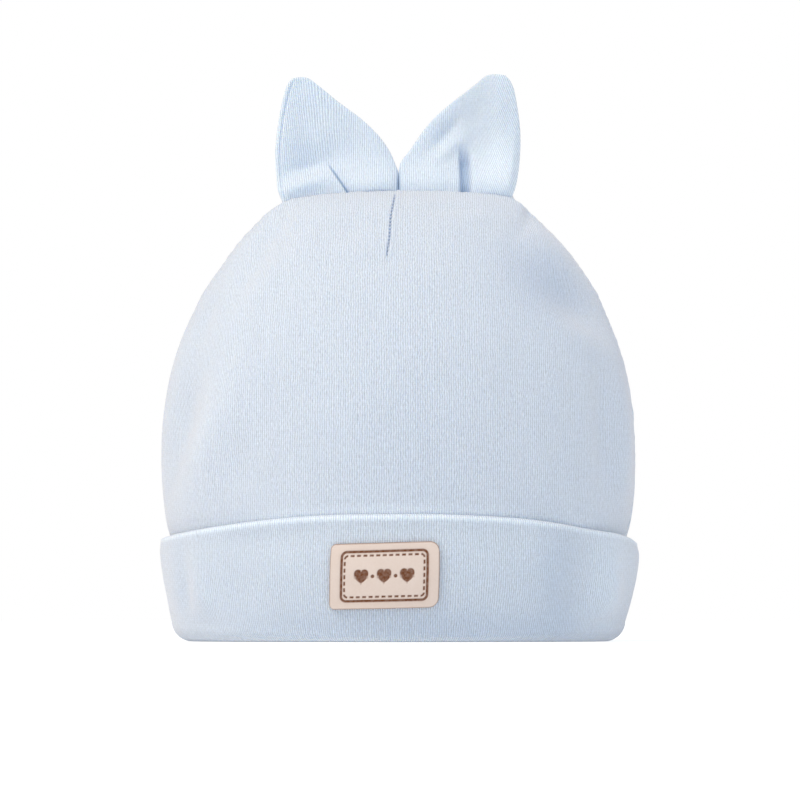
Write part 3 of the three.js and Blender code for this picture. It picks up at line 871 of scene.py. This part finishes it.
patch = {
    "width": 28.0,
    "height": 16.6,
    "thickness": 1.1,
    "leftCorner": 1.4,
    "rightCorner": 2.5,
    "side": -3.6,
    "rise": 17.1,
    "tilt": 1.5,
    "shear": 0.033,        # how far the upright edges lean right
    "fan": 0.0019,         # how much less the patch widens upwards than the cuff
    "halo": 0.13,          # lightly scorched beside the burnt lines
    "haloReach": 0.75,
    "soft": 0.1,           # softness of a burnt line's edge
    "round": 0.4,          # rounding of the upper edge
    "step": 0.14,
    "borderSide": 3.1,     # edge of the patch to the middle of the engraved line
    "borderEnd": 2.15,
    "borderCorner": 1.3,
    "borderHalf": 0.33,
    "dashSide": 3.9,
    "dashEnd": 3.15,
    "dashCorner": 0.8,
    "dashHalf": 0.25,
    "dashPitch": 1.63,
    "dashShare": 0.62,
    "edgeBurn": 0.75,
    "groove": 0.14,
    "heart": 1.6,
    "heartSpacing": 5.8,
    "dot": 0.45,
    "offCuff": 0.08,       # from the cuff to the patch's underside
}


def roundedDistance(a, b, halfWidth, halfHeight, corner):
    # distance outside (above 0) or inside a rounded rectangle
    qa, qb = np.abs(a) - halfWidth + corner, np.abs(b) - halfHeight + corner
    outside = np.hypot(np.maximum(qa, 0), np.maximum(qb, 0))
    return outside + np.minimum(np.maximum(qa, qb), 0) - corner


def burntLine(away, half):
    # 1 within half a line's width, softly to 0 outside it
    return 1 - smoothStep(away, half - patch["soft"], half + patch["soft"])


def engraving(a, b):
    # how strongly each place of the patch is burnt, 0 to 1
    halfWidth, halfHeight = patch["width"] / 2, patch["height"] / 2
    line = np.abs(roundedDistance(a, b, halfWidth - patch["borderSide"], halfHeight - patch["borderEnd"],
                                  patch["borderCorner"]))
    burnt = burntLine(line, patch["borderHalf"])
    burnt = np.maximum(burnt, patch["halo"] * bell(line, 0, patch["haloReach"]))
    dashWidth, dashHeight = halfWidth - patch["dashSide"], halfHeight - patch["dashEnd"]
    dashLine = np.abs(roundedDistance(a, b, dashWidth, dashHeight, patch["dashCorner"]))
    flatSide = (dashHeight - np.abs(b)) < (dashWidth - np.abs(a))
    phase = np.abs(np.mod(np.where(flatSide, a, b) / patch["dashPitch"], 1) - 0.5)
    gap = 0.5 - patch["dashShare"] / 2
    dash = smoothStep(phase, gap - 0.06, gap + 0.06) * burntLine(dashLine, patch["dashHalf"])
    return np.maximum(np.maximum(burnt, dash), motif(a, b))


def motif(a, b):
    # a plain row in the middle: three hearts with a dot between each two
    burnt = np.zeros_like(a)
    for k in (-1, 0, 1):
        x, y = (a - k * patch["heartSpacing"]) / patch["heart"], (b + 0.2) / patch["heart"]
        core = x**2 + y**2 - 1
        value = core**3 - x**2 * y**3
        slope = np.hypot(6 * x * core**2 - 2 * x * y**3, 6 * y * core**2 - 3 * x**2 * y**2)
        away = value / (slope + 0.15) * patch["heart"]
        burnt = np.maximum(burnt, 1 - smoothStep(away, -0.12, 0.12))
    for k in (-0.5, 0.5):
        away = np.hypot(a - k * patch["heartSpacing"], b) - patch["dot"]
        burnt = np.maximum(burnt, 1 - smoothStep(away, -0.12, 0.12))
    return burnt


def onCuff(a, b, lift):
    # a place on the cuff's leg, a millimetres sideways and b up, lifted off along its normal
    normals = normalsOf(cuffLeg)
    rows, columns = cuffLeg.shape[:2]
    middle = rows // 2
    column = np.interp(a, cuffLegRound[middle], np.arange(columns))
    row = np.interp(b, cuffLeg[:, columns // 2, 2], np.arange(rows))
    j, i = np.floor(row).astype(int), np.floor(column).astype(int)
    t, s = (row - j)[..., None], (column - i)[..., None]
    found = []
    for field in (cuffLeg, normals):
        low = lerp(field[j, i], field[j, i + 1], s)
        high = lerp(field[j + 1, i], field[j + 1, i + 1], s)
        found.append(lerp(low, high, t))
    return found[0] + found[1] * lift[..., None]


def makePatch():
    halfWidth, halfHeight = patch["width"] / 2, patch["height"] / 2
    columns = int(round(patch["width"] / patch["step"]))
    rows = int(round(patch["height"] / patch["step"]))
    a, v = np.meshgrid(np.linspace(-halfWidth, halfWidth, columns + 1), np.linspace(-1, 1, rows + 1))
    corner = np.where(a > 0, patch["rightCorner"], patch["leftCorner"])
    past = np.clip(np.abs(a) - halfWidth + corner, 0, corner)
    b = v * (halfHeight - corner + np.sqrt(np.maximum(corner**2 - past**2, 0)))
    burnt = engraving(a, b)
    inside = -roundedDistance(a, b, halfWidth, halfHeight, corner)
    over = np.clip(1 - inside / patch["round"], 0, 1)
    top = patch["thickness"] - patch["round"] * (1 - np.sqrt(1 - over**2)) - patch["groove"] * burnt
    burnt = np.maximum(burnt, patch["edgeBurn"] * (1 - smoothStep(inside, 0.08, 0.4)))
    turn = math.radians(patch["tilt"])
    side = patch["side"] + a * (1 - patch["fan"] * b) + b * patch["shear"]
    rise = patch["rise"] + b * math.cos(turn) + a * math.sin(turn)
    points = onCuff(side, rise, top + patch["offCuff"])
    under = onCuff(side, rise, np.full_like(top, patch["offCuff"]))
    cloth = np.stack([a, b], axis=2)
    piece = layCloth("patchPlate", points, cloth)
    mark(piece, "burn", burnt)
    backing = layCloth("patchBacking", under[:, ::-1], cloth[:, ::-1])
    mark(backing, "burn", np.full(burnt.size, patch["edgeBurn"]))
    bridgePatch(piece, backing)
    shadeSmooth(piece, 50)
    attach(piece, "root")
    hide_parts("patch")
    return piece


def bridgePatch(piece, backing):
    selectOnly(backing, piece)
    bpy.ops.object.join()
    joinEdges(piece, 0.001)
    bpy.ops.object.mode_set(mode="EDIT")
    bpy.ops.mesh.select_all(action="DESELECT")
    bpy.ops.mesh.select_mode(type="EDGE")
    bpy.ops.mesh.select_non_manifold()
    bpy.ops.mesh.bridge_edge_loops()
    bpy.ops.mesh.select_all(action="SELECT")
    bpy.ops.mesh.normals_make_consistent(inside=False)
    bpy.ops.mesh.select_mode(type="VERT")
    bpy.ops.object.mode_set(mode="OBJECT")


patchPlate = makePatch()
print("patch made")


# Materials: one knit shared by all the jersey, and the leather of the patch

def mathIn(tree):
    # adding, taking away and multiplying in a node tree
    def way(operation):
        return lambda *values: calc(tree, operation, *values)
    return way("ADD"), way("SUBTRACT"), way("MULTIPLY")


def speckle(tree, place, scale, stretch, detail=2.0):
    # noise on the cloth, stretched across and along
    mapping = tree.nodes.new("ShaderNodeMapping")
    fill(tree, mapping, {"Scale": (*stretch, 1), "Vector": place})
    texture = tree.nodes.new("ShaderNodeTexNoise")
    fill(tree, texture, {"Scale": scale, "Detail": detail, "Vector": mapping.outputs["Vector"]})
    return texture.outputs["Fac"]


# every jersey feeds all of these
knitInputs = {
    "Cloth": "NodeSocketVector",
    "Colour": "NodeSocketColor",
    "Stitch And Shade": "NodeSocketFloat",
    "Wale": "NodeSocketFloat",
    "Rib Shade": "NodeSocketFloat",
    "Fuzz Shade": "NodeSocketFloat",
    "Jolt": "NodeSocketFloat",
    "Streaks": "NodeSocketFloat",
}
knitOutputs = {"Colour": "NodeSocketColor", "Height": "NodeSocketFloat", "Roughness": "NodeSocketFloat"}
coursePitch = 0.5   # millimetres from one course to the next
knitDepth = 0.12    # and the height of the knit


def makeKnitGroup():
    # wales and courses of a jersey with fuzz, slubs, streaks and clouds, laid on its cloth in millimetres
    tree = bpy.data.node_groups.new("knitJersey", "ShaderNodeTree")
    for label, kind in knitInputs.items():
        tree.interface.new_socket(name=label, in_out="INPUT", socket_type=kind)
    for label, kind in knitOutputs.items():
        tree.interface.new_socket(name=label, in_out="OUTPUT", socket_type=kind)
    given, made = tree.nodes.new("NodeGroupInput"), tree.nodes.new("NodeGroupOutput")
    add, less, times = mathIn(tree)
    cloth, stitchAndShadeIn = given.outputs["Cloth"], given.outputs["Stitch And Shade"]
    split = tree.nodes.new("ShaderNodeSeparateXYZ")
    tree.links.new(cloth, split.inputs[0])
    bend = times(less(speckle(tree, cloth, 0.14, (1, 0.6)), 0.5), 1.4)
    jolt = times(less(speckle(tree, cloth, 1.1, (1.3, 0.7)), 0.5), given.outputs["Jolt"])
    wale = add(calc(tree, "DIVIDE", split.outputs["X"], given.outputs["Wale"]), add(bend, jolt))
    side = calc(tree, "ABSOLUTE", less(calc(tree, "FRACT", wale), 0.5))
    leg = add(times(calc(tree, "COSINE", times(side, 2 * math.pi)), 0.5), 0.5)
    course = less(calc(tree, "DIVIDE", split.outputs["Y"], coursePitch), times(side, 1.5))
    loop = times(calc(tree, "COSINE", times(course, 2 * math.pi)), 0.18)
    knit = times(leg, add(loop, 0.82))
    strong = add(times(speckle(tree, cloth, 0.7, (1, 0.7)), 1.6), 0.2)
    fuzz = less(speckle(tree, cloth, 2.6, (1, 0.4), 3.0), 0.5)
    knot = calc(tree, "MAXIMUM", less(speckle(tree, cloth, 0.75, (0.8, 1.5), 1.0), 0.7), 0.0)
    slub = times(knot, 6.0)
    height = add(add(knit, times(fuzz, 0.6)), slub)
    ribs = times(times(less(knit, 0.5), strong), given.outputs["Rib Shade"])
    shade = add(ribs, times(fuzz, given.outputs["Fuzz Shade"]))
    streak = less(speckle(tree, cloth, 1.3, (1, 0.045)), 0.5)
    cloud = less(speckle(tree, cloth, 0.09, (1, 0.6)), 0.5)
    uneven = times(add(streak, times(cloud, 0.6)), given.outputs["Streaks"])
    value = add(add(shade, uneven), times(slub, 0.05))
    # darker and bluer at stitches and painted shade, lighter at painted light
    value = times(add(value, 1.0), less(1.0, times(stitchAndShadeIn, 0.45)))
    deep = add(times(calc(tree, "MAXIMUM", stitchAndShadeIn, 0.0), 1.5), 1.0)
    tint = tree.nodes.new("ShaderNodeHueSaturation")
    fill(tree, tint, {"Value": value, "Saturation": deep, "Color": given.outputs["Colour"]})
    rough = add(times(speckle(tree, cloth, 0.5, (1, 1)), 0.1), 0.86)
    fill(tree, made, {"Colour": tint.outputs["Color"], "Height": height, "Roughness": rough})
    return tree


knitGroup = makeKnitGroup()

# Wale is millimetres from one wale to the next
fineKnit = {"Wale": 0.62, "Rib Shade": 0.35, "Fuzz Shade": 0.42, "Jolt": 0.9, "Streaks": 0.06}
earKnit = {"Wale": 0.58, "Rib Shade": 0.38, "Fuzz Shade": 0.3, "Jolt": 0.5, "Streaks": 0.03}
jerseys = {
    "crownJersey": {"colour": (0.668, 0.744, 0.869), "knit": fineKnit, "bump": 0.65, "sheen": 0.5},
    "cuffJersey": {"colour": (0.654, 0.738, 0.864), "knit": fineKnit, "bump": 0.65, "sheen": 0.5},
    # the ears' copy of the jersey is made lighter than the crown's: painted light
    "earJersey": {"colour": (0.722, 0.817, 0.953), "knit": earKnit, "bump": 0.7, "sheen": 0.45},
}
jerseyShine = {
    "Specular IOR Level": 0.2,
    "Subsurface Weight": 0.4,
    "Subsurface Radius": (0.8, 1.0, 1.3),
    "Subsurface Scale": 1.3 * mm,
    "Sheen Roughness": 0.45,
    "Sheen Tint": (1.0, 0.9, 0.86, 1),
}
leather = {
    "dark": (0.73, 0.60, 0.525, 1),
    "pale": (0.84, 0.73, 0.68, 1),
    "burnt": (0.16, 0.052, 0.018, 1),
    "bump": 0.35,
    "bumpDepth": 0.08,
    "roughness": 0.62,
    "specular": 0.2,
}


def newMaterial(name, attribute):
    # a material with its shader, the piece's own cloth map and one of its attributes
    material = bpy.data.materials.new(name)
    material.use_nodes = True
    tree = material.node_tree
    place = tree.nodes.new("ShaderNodeUVMap")
    place.uv_map = "cloth"
    amount = tree.nodes.new("ShaderNodeAttribute")
    amount.attribute_name = attribute
    return material, tree, tree.nodes["Principled BSDF"], place.outputs["UV"], amount.outputs["Fac"]


def addBump(tree, height, strength, distance):
    bump = tree.nodes.new("ShaderNodeBump")
    fill(tree, bump, {"Height": height, "Strength": strength, "Distance": distance * mm})
    return bump.outputs["Normal"]


def makeJersey(name):
    look = jerseys[name]
    # the attribute holds the stitches' darkness with painted shade and painted light
    material, tree, shader, place, stitchAndShade = newMaterial(name, "stitchAndShade")
    knit = tree.nodes.new("ShaderNodeGroup")
    knit.node_tree = knitGroup
    fill(tree, knit, {**look["knit"], "Colour": (*look["colour"], 1), "Cloth": place, "Stitch And Shade": stitchAndShade})
    fill(tree, shader, jerseyShine)
    fill(tree, shader, {"Base Color": knit.outputs["Colour"], "Roughness": knit.outputs["Roughness"],
                        "Normal": addBump(tree, knit.outputs["Height"], look["bump"], knitDepth),
                        "Sheen Weight": look["sheen"]})
    return material


def makeLeather():
    material, tree, shader, place, burn = newMaterial("patchLeather", "burn")
    add, _, times = mathIn(tree)
    grain = speckle(tree, place, 1.6, (1, 1), 5.0)
    cloud = speckle(tree, place, 0.2, (1, 1))
    tone = blend(tree, add(times(grain, 0.5), times(cloud, 0.5)), leather["dark"], leather["pale"])
    patchy = add(times(speckle(tree, place, 1.1, (1, 1)), 0.5), 0.68)
    strength = calc(tree, "MINIMUM", times(burn, patchy), 1.0)
    fill(tree, shader, {"Base Color": blend(tree, strength, tone, leather["burnt"]),
                        "Normal": addBump(tree, grain, leather["bump"], leather["bumpDepth"]),
                        "Roughness": leather["roughness"], "Specular IOR Level": leather["specular"]})
    return material


def dress(piece, material):
    piece.data.materials.clear()
    piece.data.materials.append(material)


crownJersey = makeJersey("crownJersey")
dress(crownFront, crownJersey)
dress(crownBack, crownJersey)
dress(cuffCloth, makeJersey("cuffJersey"))
earJersey = makeJersey("earJersey")
dress(earLeft, earJersey)
dress(earRight, earJersey)
dress(patchPlate, makeLeather())
print("materials made")
